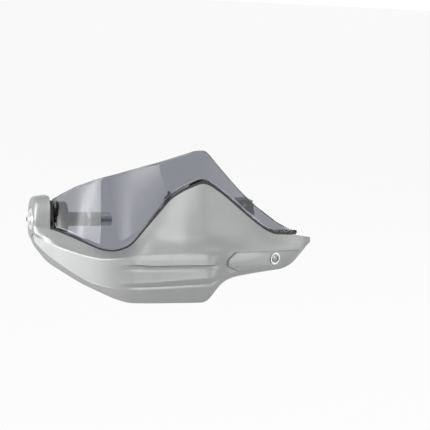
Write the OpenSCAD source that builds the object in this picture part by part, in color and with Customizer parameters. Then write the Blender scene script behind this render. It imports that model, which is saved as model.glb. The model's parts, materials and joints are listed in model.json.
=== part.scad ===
// Motorcycle hand guard for the right-hand end of a handlebar.
// A moulded shell wraps round the front of the grip, and a smoked deflector stands on its rim.
// The origin is the centre of the handlebar's end face. +X runs along the bar towards the
// middle of the motorcycle, -Y is forwards and +Z is up.

/* [Shell] */
// Wall of the moulded shell
shell_wall = 3; // [2.4:0.1:3.6]
// How far the front of the shell stands ahead of the bar axis
reach = 99.5; // [94:0.5:106]
// Height of the rim's peak above the bar axis
peak_h = 51; // [48:0.5:55]
// Depth of the lower edge below the bar axis
drop = 77; // [74:0.5:80]
// How far the lower edge turns in towards the bar
turn_in = 9; // [6:0.5:12]
// How far the two horizontal ribs stand proud of the front
rib_depth = 2.4; // [1.5:0.1:3]
// Thickness of the stiffening webs inside the shell
web_t = 2; // [1.6:0.1:3]
// Height of the stiffening webs
web_h = 7; // [5:0.5:9]

/* [Bar end] */
// Width of the end lug along the bar
lug_w = 17.5; // [16:0.5:19]
// Radius of the pocket in the lug
pocket_r = 17; // [16.5:0.1:17.8]
// Thickness of the lug's end wall
lug_end_t = 6; // [5:0.25:7]
// Gap between the lug and the bar's end face
lug_gap = 22.5; // [22:0.5:25]
// Radius of the weight's collar next to the grip
collar_r = 19.5; // [17:0.25:20]
// Length of the weight's collar
collar_l = 12.5; // [10:0.25:13]
// Radius of the spigot that enters the handlebar
spigot_r = 7.9; // [7:0.05:8.5]
// Length of the spigot
spigot_l = 12; // [10:0.5:16]
// Radius of the through bolt's shank
bar_bolt_r = 4; // [3:0.25:4.5]
// Radius of the through bolt's domed head
bar_head_r = 7; // [6.5:0.1:8]
// Length of one rubber expander ring
expander_l = 11; // [8:0.5:14]

/* [Inner arm] */
// How far the flat mounting pad stands proud of the arm
pad_h = 2.2; // [1.5:0.1:3]
// Distance of the mounting screw from the bar's end face
arm_screw_x = 228; // [224:0.5:232]
// Height of the mounting screw, below the bar axis
arm_screw_drop = 35; // [34:0.25:36]
// Radius of the mounting screw's shank
arm_screw_r = 3; // [2.5:0.25:3.5]
// Radius of the mounting screw's head
arm_head_r = 4.8; // [4.4:0.1:5.4]
// Radius of the metal collar's flange round the head
ring_r = 6.8; // [6.4:0.1:7.6]
// Depth of the boss behind the arm
arm_boss_h = 6; // [5:0.25:8]

/* [Handlebar clamp] */
// Radius of the handlebar
bar_r = 11; // [10.9:0.05:11.2]
// Distance of the clamp's middle from the bar's end face
clamp_x = 206; // [203:0.5:209]
// Width of the clamp along the bar
clamp_w = 20; // [18:0.5:22]
// Metal round the bar in the clamp
clamp_wall = 6; // [5:0.25:7]
// Slit between the two halves of the clamp
clamp_slit = 2; // [1.5:0.25:3]
// Radius of the clamp screws
clamp_screw_r = 2.5; // [2:0.25:3]

/* [Deflector] */
// Thickness of the clear deflector
screen_t = 3; // [2.6:0.1:3.4]
// Height of the deflector's top above the bar axis
screen_h = 85; // [80:0.5:90]
// Height of the rubber bead between the rim and the deflector
bead_h = 2.6; // [2:0.1:3.2]
// How far the bead stands proud of the shell
bead_proud = 0.6; // [0.3:0.1:1]
// Height of the bosses that carry the deflector
boss_h = 5; // [4.5:0.1:6]
// Radius of those bosses
boss_r = 5; // [4.6:0.1:5.4]
// Radius of the deflector screws' shanks
screen_screw_r = 1.95; // [1.5:0.05:2]
// Running clearance between neighbouring pieces
gap = 0.25; // [0.2:0.05:0.3]

/* [Hidden] */
$fn = 48;

// Guide curves as [x, value], in millimetres from the bar's end face along the bar.
// The front line in plan, shared by the shoulder and the sill.
FRONT_Y = [[-42, -15], [-37, -20], [-30, -26], [-22, -38], [-15, -47.5], [4, -65.5], [22, -81.5],
  [37, -92.5], [50, -98.5], [66, -100], [141, -100], [151, -95], [160, -87.5], [170, -81.5],
  [180, -78], [270, -38.3], [276, -35.6], [280, -32.5], [282, -28]];
// The rim, in plan and in height.
RIM_Y = [[-42, -17], [-34, -20], [-28, -22], [-22, -23.5], [-10, -34], [4, -52], [27, -70.5],
  [42, -79.5], [64, -78], [88, -76], [135, -72], [160, -66], [231, -50], [261, -40],
  [276, -34.5], [280, -31.5], [282, -27]];
RIM_Z = [[-42, -5], [-22, -7], [-10, -10.5], [4, -15], [24, -22.5], [38, -23], [56, -16.5],
  [64, -7], [99, 34.5], [112, 42.5], [128, 49.5], [136, 52], [144, 49.5], [160, 39.5],
  [202, 7.4], [218, -3.5], [231, -9], [261, -11.4], [282, -16]];
// The soft crease part way down the upper wall.
MID_Y = [[-42, -17], [-21, -35], [4, -62], [27, -81], [42, -90.5], [55, -92], [64, -90],
  [74, -88.7], [114, -89.3], [146, -84], [160, -78], [180, -71], [202, -64], [218, -58.5],
  [231, -54.3], [261, -42], [276, -35.3], [280, -32.2], [282, -27.6]];
MID_Z = [[-42, -11.5], [-21, -18], [4, -25], [27, -27.5], [42, -25], [55, -21], [64, -15],
  [74, -11], [118, -9], [160, -9.5], [180, -10.5], [202, -12], [218, -16.5], [231, -21],
  [261, -24], [276, -19.3], [282, -17.6]];
// The shoulder above the ribs, the sill below them and the lower edge.
SHOULDER_Z = [[-42, -14], [-29, -20], [-15, -23.5], [4, -28], [22, -30], [38, -27], [60, -23.5],
  [143, -23], [177, -24], [231, -27], [261, -29], [273, -24], [282, -19]];
SILL_Z = [[-42, -19], [-27, -34], [-21, -38], [-4, -49], [14, -58], [34, -61], [50, -61.5],
  [85, -60.5], [144, -58], [160, -50], [175, -46], [245, -46], [258, -40], [273, -27.5],
  [282, -20.4]];
EDGE_Z = [[-42, -25], [-36, -30], [-27, -43], [-21, -46.5], [-14, -50], [4, -60], [23, -67.5],
  [37, -73], [51, -76.5], [75, -77], [124, -77.3], [139, -77], [152, -63], [163, -56],
  [179, -52.5], [207, -51], [243, -50], [257, -45.5], [273, -30.5], [282, -22]];
// The deflector's free edge, in plan and in height.
TOP_Y = [[-21, -8], [-12, -14], [4, -30], [25, -47], [40, -53], [56, -54.5], [116, -52],
  [142, -49], [175, -46], [212, -40], [238, -37.5], [256, -37], [268, -36]];
TOP_Z = [[-20, 22], [-17, 25], [-12, 29], [3, 41], [25, 53], [56, 63], [89, 72], [116, 80.5],
  [131, 85], [143, 85.5], [149, 80.5], [159, 69.5], [175, 53], [188, 40.3], [211, 21],
  [237, 3], [254, -5.5], [264, -9.2], [268, -10]];
// The table values are drawn for these four sizes.
DRAWN_REACH = 99.5;
DRAWN_PEAK = 51;
DRAWN_DROP = 77;
DRAWN_SCREEN = 85;
PLAN_EASE = 11;
HEIGHT_EASE = 7;
TOP_EASE = 4;

// The ribs, as [share of the way from shoulder to sill, height as a share of rib_depth, drift].
// The drift is how much the share changes for each millimetre along the bar.
RIBS = [[0.02, 0.35, 0], [0.215, 1.1, 0], [0.25, -0.35, 0], [0.37, -0.4, 0], [0.41, 0, 0],
  [0.735, 1.15, -0.0012], [0.765, 0.8, -0.0012], [0.945, -0.45, 0], [0.965, 0.35, 0], [1, 0.35, 0]];
RIB_MIDDLE = 96;
RIB_START = [38, 58];
RIB_END = [138, 154];
SILL_START = [-4, 40];

LUG_FRONT = -lug_gap;
LUG_BACK = LUG_FRONT - lug_w;
LUG_ROWS = 5;
LUG_END_R = 5;
LUG_CENTRE = [-1, -1];
REAR_A = 21;
REAR_B = 24.5;
PAD_X = [180, -78];
PAD_SLOPE = 0.441;
SCREEN_X = [LUG_FRONT + 4.5, 262];
SCREEN_CORNER = 3.5;
SCREW_XS = [14, 62, 136, 190];
SCREW_ROW = 2;
ARM_TURN = atan(PAD_SLOPE * reach / DRAWN_REACH);

// Small helpers.
function unit(v) = v / norm(v);
function mix(a, b, t) = a + (b - a) * t;
function soft(t) = let(c = min(1, max(0, t))) c * c * (3 - 2 * c);
function fade(x, range) = soft((x - range[0]) / (range[1] - range[0]));

// A guide curve with its corners rounded: a weighted average of the table round x.
function eased(table, x, w) = let(s = w / 4)
  (4 * lookup(x, table) + 3 * (lookup(x - s, table) + lookup(x + s, table))
    + 2 * (lookup(x - 2 * s, table) + lookup(x + 2 * s, table))
    + lookup(x - 3 * s, table) + lookup(x + 3 * s, table)) / 16;

// Points round corner b of the path a, b, c, which starts and ends r from the corner.
function bend(a, b, c, r, n, share = 0.45) = let(
    k = min(r, 0.45 * norm(a - b), share * norm(c - b)),
    p = b + k * unit(a - b),
    q = b + k * unit(c - b))
  [for (i = [0:n]) let(t = i / n) (1 - t) * (1 - t) * p + 2 * t * (1 - t) * b + t * t * q];

// The guide curves at the size asked for.
function plan(table, x) = eased(table, x, PLAN_EASE) * reach / DRAWN_REACH;
function below(table, x) = eased(table, x, HEIGHT_EASE) * drop / DRAWN_DROP;
function either(table, x) = let(z = eased(table, x, HEIGHT_EASE))
  z * (z > 0 ? peak_h / DRAWN_PEAK : drop / DRAWN_DROP);

// The rows of the shell's outer face at x, from the rim down to the turned-in edge.
RIM_STEPS = [2.5, 7, 16, 34];
RIM_SHARES = [0.2, 0.56, 0.78, 0.92];
MID_R = 9;
SHOULDER_R = 5;
EDGE_R = 5;
// How far the lower edge lies behind the sill, and how far its turned-in part rises.
EDGE_TUCK = 3;
EDGE_RISE = 1.5;
function shell_rows(x) = let(
    rim = [x, plan(RIM_Y, x), either(RIM_Z, x)],
    mid = [x, plan(MID_Y, x), below(MID_Z, x)],
    shoulder = [x, plan(FRONT_Y, x), below(SHOULDER_Z, x)],
    sill = [x, plan(FRONT_Y, x), below(SILL_Z, x)],
    edge = [x, plan(FRONT_Y, x) + EDGE_TUCK, below(EDGE_Z, x)],
    turned = edge + [0, turn_in, EDGE_RISE],
    wall = norm(mid - rim),
    upper = [rim, for (k = [0:3]) mix(rim, mid, min(RIM_STEPS[k] / wall, RIM_SHARES[k]))],
    crease = bend(upper[4], mid, shoulder, MID_R, 2),
    brow = bend(crease[2], shoulder, sill, SHOULDER_R, 2),
    drift_x = min(RIB_END[1], max(RIB_START[0], x)) - RIB_MIDDLE,
    ribs = [for (r = RIBS) mix(brow[2], sill, r[0] + r[2] * drift_x)],
    low = bend(sill, edge, turned, EDGE_R, 3))
  concat(upper, crease, brow, ribs, [mix(sill, low[0], 0.5)], low, [turned]);
ROWS = len(shell_rows(0));
RIB_ROW = ROWS - 6 - len(RIBS);
SHOULDER_ROW = RIB_ROW - 1;

// How far a row of the outer face stands proud of the smooth base form.
function relief(x, row) = let(k = row - RIB_ROW)
  k < 0 || k >= len(RIBS) ? 0
  : k < len(RIBS) - 2 ? RIBS[k][1] * rib_depth * fade(x, RIB_START) * (1 - fade(x, RIB_END))
  : RIBS[k][1] * rib_depth * fade(x, SILL_START) * (1 - fade(x, RIB_END));

// Outward normals of a grid of points whose rows run downwards and whose columns run along X.
function normals(g) = let(n = len(g) - 1, m = len(g[0]) - 1)
  [for (i = [0:n]) [for (j = [0:m])
    unit(cross(g[i][min(j + 1, m)] - g[i][max(j - 1, 0)],
      g[min(i + 1, n)][j] - g[max(i - 1, 0)][j]))]];
function moved(g, nrm, d) = [for (i = [0:len(g) - 1]) [for (j = [0:len(g[0]) - 1])
  g[i][j] + nrm[i][j] * d]];

// The outward normal of the shell's base form at x, on one of its rows.
function wall_normal(x, row) = let(a = shell_rows(x - 3), b = shell_rows(x + 3), c = shell_rows(x))
  unit(cross(c[min(row + 1, ROWS - 1)] - c[max(row - 1, 0)], b[row] - a[row]));

// Four corners as two triangles.
function quad(a, b, c, d) = [[a, b, c], [a, c, d]];

// A closed sheet between a front grid and a back grid of the same size.
module sheet(front, back) {
  n = len(front) - 1;
  m = len(front[0]) - 1;
  w = m + 1;
  back_at = (n + 1) * w;
  function f(i, j) = i * w + j;
  function b(i, j) = back_at + i * w + j;
  faces = concat(
    [for (i = [0:n - 1], j = [0:m - 1]) each concat(
      quad(f(i, j), f(i + 1, j), f(i + 1, j + 1), f(i, j + 1)),
      quad(b(i, j), b(i, j + 1), b(i + 1, j + 1), b(i + 1, j)))],
    [for (i = [0:n - 1]) each concat(
      quad(b(i, 0), b(i + 1, 0), f(i + 1, 0), f(i, 0)),
      quad(f(i, m), f(i + 1, m), b(i + 1, m), b(i, m)))],
    [for (j = [0:m - 1]) each concat(
      quad(f(0, j), f(0, j + 1), b(0, j + 1), b(0, j)),
      quad(f(n, j + 1), f(n, j), b(n, j), b(n, j + 1)))]);
  polyhedron([for (g = [front, back]) for (col = g) each col], faces);
}

// The shell's columns: close together round the lug and the tip, and wide apart between.
COLUMN_STEP = 6;
LUG_COLUMNS = [0, 0.6, 2, 5, 9, 13, lug_w];
TIP = [266, 270, 273.5, 276.5, 279, 281, 282];
COLUMNS = concat([for (d = LUG_COLUMNS) LUG_BACK + d],
  [for (x = [LUG_FRONT + 4:COLUMN_STEP:TIP[0] - 2]) x], TIP);
LUG_LAST = len(LUG_COLUMNS) - 1;

// The rows of the lug above the rim, from its top edge down its front face.
LUG_EDGE = [[-13, 25], [-18.5, 23], [-22.3, 17.5], [-24.3, 9], [-24.5, 0]];
LUG_BULGE = 3.5;
LUG_FLARE = 0.11;
function lug_bulge(x) = LUG_BULGE * (1 - fade(x, [LUG_BACK, LUG_FRONT]));
function flared(x, z) = z * (z > 0 ? 1 + LUG_FLARE * (x - LUG_BACK) / lug_w : 1);
function lug_rows(x) = [for (p = LUG_EDGE) [x, p[0] + lug_bulge(x), flared(x, p[1])]];
// The lug's rear face is an oval that ends behind the shoulder.
REAR_START = 72;
REAR_SWEEP = 178;
REAR_POWER = 0.7;
function rear_rows(x, count) = [for (k = [0:count]) let(t = REAR_START - REAR_SWEEP * k / count)
  [x, REAR_A * sign(cos(t)) * pow(abs(cos(t)), REAR_POWER),
    flared(x, REAR_B * sign(sin(t)) * pow(abs(sin(t)), REAR_POWER))]];
// The end of the lug is rounded: its section shrinks towards the middle over the last columns.
function lug_shrink(x) = let(d = min(LUG_END_R, x - LUG_BACK))
  (LUG_END_R - sqrt(LUG_END_R * LUG_END_R - pow(LUG_END_R - d, 2))) / REAR_B;
function shrunk(p, s) = [p[0], mix(p[1], LUG_CENTRE[0], s), mix(p[2], LUG_CENTRE[1], s)];

// The moulded body: a sheet whose outboard end thickens into the lug.
module moulded_body() {
  base = [for (x = COLUMNS) shell_rows(x)];
  nrm = normals(base);
  front = [for (i = [0:len(base) - 1]) let(x = COLUMNS[i], s = i <= LUG_LAST ? lug_shrink(x) : 0)
    [for (p = concat(lug_rows(x), [for (j = [0:ROWS - 1]) base[i][j] + nrm[i][j] * relief(x, j)]))
      shrunk(p, s)]];
  thin = [for (i = [0:len(base) - 1]) let(x = COLUMNS[i], s = i <= LUG_LAST ? lug_shrink(x) : 0)
    [for (p = concat(lug_rows(x), [for (j = [0:ROWS - 1]) base[i][j] - nrm[i][j] * shell_wall]))
      shrunk(p, s)]];
  join = LUG_ROWS + SHOULDER_ROW;
  thick = [for (i = [0:len(base) - 1]) let(x = COLUMNS[i], s = i <= LUG_LAST ? lug_shrink(x) : 0)
    concat([for (p = rear_rows(x, join - 1)) shrunk(p, s)],
      [for (j = [join:LUG_ROWS + ROWS - 1]) thin[i][j]])];
  w = LUG_ROWS + ROWS;
  m = w - 1;
  n = len(COLUMNS) - 1;
  size = (n + 1) * w;
  function f(i, j) = i * w + j;
  function b(i, j) = size + i * w + j;
  function k(i, j) = 2 * size + i * w + j;
  rim = LUG_ROWS;
  last = LUG_LAST;
  lug_faces = concat(
    [for (i = [0:last - 1], j = [0:m - 1]) each concat(
      quad(f(i, j), f(i + 1, j), f(i + 1, j + 1), f(i, j + 1)),
      quad(k(i, j), k(i, j + 1), k(i + 1, j + 1), k(i + 1, j)))],
    [for (i = [0:last - 1]) each concat(
      quad(k(i, 0), k(i + 1, 0), f(i + 1, 0), f(i, 0)),
      quad(f(i, m), f(i + 1, m), k(i + 1, m), k(i, m)))],
    [for (j = [0:m - 1]) each quad(f(0, j), f(0, j + 1), k(0, j + 1), k(0, j))],
    [for (j = [0:rim - 2]) each quad(f(last, j + 1), f(last, j), k(last, j), k(last, j + 1))],
    [[f(last, rim - 1), k(last, rim - 1), k(last, rim)],
      [f(last, rim - 1), k(last, rim), b(last, rim)],
      [f(last, rim - 1), b(last, rim), f(last, rim)]],
    [for (j = [rim:join - 2]) each quad(b(last, j + 1), b(last, j), k(last, j), k(last, j + 1))],
    [[b(last, join), b(last, join - 1), k(last, join - 1)]]);
  wall_faces = concat(
    [for (i = [last:n - 1], j = [rim:m - 1]) each concat(
      quad(f(i, j), f(i + 1, j), f(i + 1, j + 1), f(i, j + 1)),
      quad(b(i, j), b(i, j + 1), b(i + 1, j + 1), b(i + 1, j)))],
    [for (i = [last:n - 1]) each concat(
      quad(b(i, rim), b(i + 1, rim), f(i + 1, rim), f(i, rim)),
      quad(f(i, m), f(i + 1, m), b(i + 1, m), b(i, m)))],
    [for (j = [rim:m - 1]) each quad(f(n, j + 1), f(n, j), b(n, j), b(n, j + 1))]);
  polyhedron([for (g = [front, thin, thick]) for (col = g) each col],
    concat(lug_faces, wall_faces));
}

// Places children with +Z along a direction.
module along(p, dir) {
  translate(p) rotate([0, acos(dir[2] / norm(dir)), atan2(dir[1], dir[0])]) children();
}

// Places children on the shell at each deflector screw: z = 0 on the outer face, +Z outwards.
module at_screws() {
  for (x = SCREW_XS) along(shell_rows(x)[SCREW_ROW], wall_normal(x, SCREW_ROW)) children();
}

// Places children at the arm's mounting screw: z = 0 on the arm's plane, +Z outwards.
ARM_Y = (PAD_X[1] + PAD_SLOPE * (arm_screw_x - PAD_X[0])) * reach / DRAWN_REACH;
module at_arm() {
  translate([arm_screw_x, ARM_Y, -arm_screw_drop]) rotate([0, 0, ARM_TURN]) rotate([90, 0, 0])
    children();
}

// The flat pad on the arm, as [distance along the arm from the screw, height from the screw].
PAD_OUTLINE = [[-69, 3.5], [-58, 11.5], [39, 6], [18.5, -11], [-53, -10.5], [-70, -3]];
PAD_BEVEL = 1;
PAD_ROOT = 1;
module pad() {
  at_arm() translate([0, 0, -PAD_ROOT]) hull() {
    linear_extrude(PAD_ROOT + pad_h - PAD_BEVEL) polygon(PAD_OUTLINE);
    linear_extrude(PAD_ROOT + pad_h) offset(delta = -PAD_BEVEL) polygon(PAD_OUTLINE);
  }
}

// Bosses on the inside of the shell, rooted in its wall.
BOSS_ROOT = 1.5;
ARM_BOSS_R = 9.5;
module bosses() {
  at_screws() translate([0, 0, -shell_wall - boss_h]) cylinder(r = boss_r, h = boss_h + BOSS_ROOT);
  at_arm() translate([0, 0, -shell_wall - arm_boss_h])
    cylinder(r = ARM_BOSS_R, h = arm_boss_h + BOSS_ROOT);
}

// Stiffening webs across the inside of the front, each rooted in the wall.
WEB_XS = [76, 104, 132];
WEB_ROOT = 0.8;
WEB_TOE = 2;
module webs() {
  for (x = WEB_XS) let(
      rows = shell_rows(x),
      first = SHOULDER_ROW - 3,
      end = ROWS - 3,
      skin = [for (j = [first:end]) let(d = unit(rows[j + 1] - rows[j - 1]))
        [rows[j][1] - d[2] * (shell_wall - WEB_ROOT), rows[j][2] + d[1] * (shell_wall - WEB_ROOT)]],
      back = plan(FRONT_Y, x) + shell_wall + web_h,
      toe = rows[ROWS - 1])
    translate([x - web_t / 2, 0, 0]) rotate([90, 0, 90]) linear_extrude(web_t)
      polygon(concat(skin, [[toe[1] - WEB_TOE, toe[2] + shell_wall - WEB_ROOT],
        [toe[1] - WEB_TOE, toe[2] + web_h],
        [back, rows[ROWS - 6][2] + web_h], [back, rows[SHOULDER_ROW][2] - web_h]]));
}

// Places children on the bar's axis at x, with +Z turned to +X.
module on_bar(x) {
  translate([x, 0, 0]) rotate([0, 90, 0]) children();
}

// A ring or tube along +Z.
module ring(outer, inner, h) {
  difference() {
    cylinder(r = outer, h = h);
    translate([0, 0, -1]) cylinder(r = inner, h = h + 2);
  }
}

// A hexagon socket's cutter, measured across its corners.
module socket(r, depth) {
  translate([0, 0, -depth]) cylinder(r = r, h = depth + 5, $fn = 6);
}

// A screw with its seat at z = 0 and its shank along -Z.
HEAD_EDGE = 0.6;
KEY_DEPTH_SHARE = 0.6;
module cap_screw(head_r, head_h, shank_r, length, key_r) {
  difference() {
    union() {
      rotate_extrude() polygon([[0, 0], [head_r, 0], [head_r, head_h - HEAD_EDGE],
        [head_r - HEAD_EDGE, head_h], [0, head_h]]);
      translate([0, 0, -length]) cylinder(r = shank_r, h = length + 0.5);
    }
    translate([0, 0, head_h]) socket(key_r, head_h * KEY_DEPTH_SHARE);
  }
}

// The same with a domed head, turned from a profile with an arc.
DOME_EDGE = 0.3;
module dome_screw(head_r, head_h, shank_r, length, key_r) {
  edge_h = head_h * DOME_EDGE;
  rise = head_h - edge_h;
  arc_r = (head_r * head_r + rise * rise) / (2 * rise);
  sweep = asin(head_r / arc_r);
  difference() {
    union() {
      rotate_extrude() polygon(concat([[0, 0], [head_r, 0]],
        [for (k = [0:10]) let(a = sweep * (1 - k / 10)) [arc_r * sin(a), head_h - arc_r * (1 - cos(a))]]));
      translate([0, 0, -length]) cylinder(r = shank_r, h = length + 0.5);
    }
    translate([0, 0, head_h]) socket(key_r, head_h * KEY_DEPTH_SHARE);
  }
}

INSERT_R = 2.8;
INSERT_L = 5.5;
BOSS_FACE = -shell_wall - boss_h;
THREAD_FIT = 0.05;
RECESS_D = 1.5;
BOLT_PLAY = 0.4;
BAR_WASHER_RIM = 5.6;
washer_r = bar_head_r + BAR_WASHER_RIM;
COLLAR_TUBE_T = 2;
COLLAR_TUBE_R = arm_screw_r + COLLAR_TUBE_T;
GROMMET_T = 1.2;
ARM_HOLE_R = COLLAR_TUBE_R + GROMMET_T + 2 * gap;

module guard_shell() {
  color("silver") difference() {
    union() {
      moulded_body();
      pad();
      bosses();
      webs();
    }
    on_bar(LUG_BACK + lug_end_t) cylinder(r = pocket_r, h = lug_w);
    on_bar(LUG_BACK - 1) cylinder(r = bar_bolt_r + BOLT_PLAY, h = lug_end_t + 2);
    on_bar(LUG_BACK - 1) cylinder(r = washer_r + gap, h = 1 + RECESS_D);
    at_screws() translate([0, 0, BOSS_FACE - 1]) cylinder(r = INSERT_R + gap / 4, h = 1 + INSERT_L + gap);
    at_arm() translate([0, 0, -shell_wall - arm_boss_h - 1])
      cylinder(r = ARM_HOLE_R, h = shell_wall + arm_boss_h + pad_h + 2);
  }
}

// The deflector: a panel above the rim, a shelf over the bead and a flange behind the shell.
FOLD_R = 5.4;
FOLD_SHARE = 0.65;
HEEL_R = 2.4;
SHELF_DEPTH = shell_wall + boss_h + 2 * gap;
FLANGE_BACK = -SHELF_DEPTH - screen_t;
FLANGE_ROW = 3;
function rim_up(x) = let(r = shell_rows(x)) unit(r[0] - r[1]);
function screen_top(x) = [x, plan(TOP_Y, x), eased(TOP_Z, x, TOP_EASE) * screen_h / DRAWN_SCREEN];
function screen_fold(x) = shell_rows(x)[0] + rim_up(x) * bead_h;
function screen_path(x) = let(
    rows = shell_rows(x),
    nrm = wall_normal(x, 0),
    flange_nrm = wall_normal(x, FLANGE_ROW),
    top = screen_top(x),
    fold = screen_fold(x),
    heel = fold - nrm * SHELF_DEPTH,
    foot = rows[FLANGE_ROW] - flange_nrm * SHELF_DEPTH,
    near = bend(top, fold, heel, FOLD_R, 4, FOLD_SHARE),
    far = bend(foot, heel, near[4], HEEL_R, 2))
  concat([top, mix(top, near[0], 1 / 3), mix(top, near[0], 2 / 3)], near, [far[2], far[1], far[0], foot]);
SCREEN_COLUMNS = concat(
  [for (a = [0:30:90]) [SCREEN_X[0] + SCREEN_CORNER * (1 - cos(a)), SCREEN_CORNER * (1 - sin(a))]],
  [for (x = COLUMNS) if (x > SCREEN_X[0] + SCREEN_CORNER + 2 && x < SCREEN_X[1] - 2) [x, 0]],
  [[SCREEN_X[1], 0]]);

module wind_deflector() {
  front = [for (c = SCREEN_COLUMNS) [for (p = screen_path(c[0])) p + [0, c[1], 0]]];
  nrm = normals(front);
  color("slategray", 0.5) difference() {
    sheet(front, moved(front, nrm, -screen_t));
    at_screws() {
      translate([0, 0, FLANGE_BACK - SPOT_DEPTH])
        cylinder(r = GROMMET_R + gap, h = screen_t + 2 * SPOT_DEPTH);
      translate([0, 0, FLANGE_BACK - SPOT_DEPTH])
        cylinder(r = GROMMET_LIP_R + 2 * gap, h = SPOT_DEPTH);
    }
  }
}

// A closed bar through rings of the same convex section.
module loft(rings) {
  n = len(rings) - 1;
  m = len(rings[0]);
  faces = concat(
    [for (i = [0:n - 1], j = [0:m - 1]) let(k = (j + 1) % m) each
      quad(i * m + j, (i + 1) * m + j, (i + 1) * m + k, i * m + k)],
    [for (j = [1:m - 2]) [0, j, j + 1]],
    [for (j = [1:m - 2]) [n * m, n * m + j + 1, n * m + j]]);
  polyhedron([for (r = rings) each r], faces);
}

// The rubber bead on the rim, which fills the corner under the deflector's fold.
function fold_slack(x) = let(
    leg = screen_top(x) - screen_fold(x),
    r = min(FOLD_R, 0.45 * norm(leg), FOLD_SHARE * SHELF_DEPTH))
  r / 8 * (unit(leg) - wall_normal(x, 0));
function bead_section(x) = let(
    p = shell_rows(x)[0],
    u = rim_up(x),
    n = wall_normal(x, 0),
    slack = fold_slack(x),
    top = bead_h - gap)
  [p + n * (gap - shell_wall) + u * 3 * gap, p + n * (gap - shell_wall) + u * top, p + slack + u * top,
    p + n * bead_proud + u * (top + slack * u), p + n * bead_proud + u * 2 * gap];
module rim_bead() {
  color("#202020") loft([for (x = COLUMNS)
    if (x > SCREEN_X[0] - 2 && x < SCREEN_X[1] - 1) bead_section(x)]);
}

// The rubber strip between the lug and the deflector's outboard edge.
SIDE_R = 2.2;
module side_seal() {
  x = SCREEN_X[0];
  path = screen_path(x);
  color("#202020") hull() for (p = [mix(path[0], path[3], 0.06), mix(path[0], path[3], 0.9)])
    translate([LUG_FRONT + 2 * gap, p[1] + SCREEN_CORNER - SIDE_R, p[2]]) rotate([0, 90, 0])
      cylinder(r = SIDE_R, h = x - LUG_FRONT - 3 * gap, $fn = 24);
}

// The fixings of the deflector, inside the shell.
GROMMET_R = 3.3;
GROMMET_LIP_R = 5.4;
GROMMET_LIP = 1;
WASHER_T = 0.8;
WASHER_INSET = 0.4;
SPOT_DEPTH = 2;
SCREEN_HEAD_H = 2.4;
LIP_BACK = FLANGE_BACK - gap - GROMMET_LIP;
module deflector_inserts() {
  color("gold") at_screws() translate([0, 0, BOSS_FACE])
    ring(INSERT_R, screen_screw_r + THREAD_FIT, INSERT_L);
}
module deflector_grommets() {
  color("#303030") at_screws() difference() {
    union() {
      translate([0, 0, LIP_BACK]) cylinder(r = GROMMET_LIP_R, h = GROMMET_LIP);
      translate([0, 0, LIP_BACK]) cylinder(r = GROMMET_R, h = GROMMET_LIP + screen_t + 2 * gap);
    }
    translate([0, 0, LIP_BACK - 1]) cylinder(r = screen_screw_r + gap, h = screen_t + GROMMET_LIP + 4);
  }
}
module deflector_washers() {
  color("lightgray") at_screws() translate([0, 0, LIP_BACK - gap / 2 - WASHER_T])
    ring(GROMMET_LIP_R - WASHER_INSET, screen_screw_r + gap, WASHER_T);
}
module deflector_screws() {
  color("lightgray") at_screws() translate([0, 0, LIP_BACK - gap - WASHER_T]) rotate([180, 0, 0])
    dome_screw(screen_screw_r * 1.95, SCREEN_HEAD_H, screen_screw_r,
      BOSS_FACE - LIP_BACK + WASHER_T + INSERT_L - 1, screen_screw_r * 0.6);
}

// The hooked clip on the deflector's shelf, behind the panel, drawn as [along the rim, up].
CLIP_X = 99;
CLIP_DEPTH = 2.3;
CLIP = [[-5.5, 0], [4.6, 0], [4.4, 3.2], [3.4, 4], [2, 3.6], [1.5, 1.8], [-5.5, 1.4]];
CLIP_H = max([for (p = CLIP) p[1]]);
CLIP_STEP_BACK = 1.2;
// How far the panel leans back for each millimetre that it rises above the fold.
function lean(x) = let(leg = screen_top(x) - screen_fold(x))
  max(0, -(leg * wall_normal(x, 0)) / (leg * rim_up(x)));
// The clip stands behind the panel's back face at its own height.
clip_lean = lean(CLIP_X);
clip_back = (screen_t + 2 * gap + CLIP_H) * clip_lean + screen_t * sqrt(1 + clip_lean * clip_lean)
  + CLIP_STEP_BACK + CLIP_DEPTH;
module deflector_clip() {
  along_rim = unit(shell_rows(CLIP_X + 3)[0] - shell_rows(CLIP_X - 3)[0]);
  n = wall_normal(CLIP_X, 0);
  up = unit(cross(n, along_rim));
  o = shell_rows(CLIP_X)[0] + rim_up(CLIP_X) * bead_h + up * (screen_t + 2 * gap) - n * clip_back;
  color("#181818") multmatrix([[along_rim[0], up[0], n[0], o[0]], [along_rim[1], up[1], n[1], o[1]],
    [along_rim[2], up[2], n[2], o[2]], [0, 0, 0, 1]]) linear_extrude(CLIP_DEPTH) polygon(CLIP);
}

// The bar-end weight: nose in the pocket, neck, collar against the bar and spigot inside it.
SLEEVE_T = 1.5;
nose_r = pocket_r - SLEEVE_T - 2 * gap;
NECK_R = 12.5;
NOSE_L = 9.8;
NOSE_TAPER = 2;
POCKET_FLOOR = LUG_BACK + lug_end_t;
CHAMFER = 1;
module bar_end_weight() {
  nose_x = POCKET_FLOOR + gap;
  color("#3a3a3c") difference() {
    on_bar(0) rotate_extrude() polygon([[0, nose_x], [nose_r - CHAMFER, nose_x], [nose_r, nose_x + CHAMFER],
      [nose_r, nose_x + NOSE_L], [NECK_R, nose_x + NOSE_L + NOSE_TAPER], [NECK_R, -collar_l],
      [collar_r - CHAMFER, -collar_l], [collar_r, CHAMFER - collar_l], [collar_r, -CHAMFER],
      [collar_r - CHAMFER, 0], [spigot_r, 0], [spigot_r, spigot_l - CHAMFER],
      [spigot_r - CHAMFER, spigot_l], [0, spigot_l]]);
    on_bar(nose_x - 1) cylinder(r = bar_bolt_r + gap, h = spigot_l - nose_x + 2);
  }
}
module weight_sleeve() {
  color("#202020") on_bar(POCKET_FLOOR + gap) ring(nose_r + gap + SLEEVE_T, nose_r + gap, NOSE_L);
}

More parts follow.
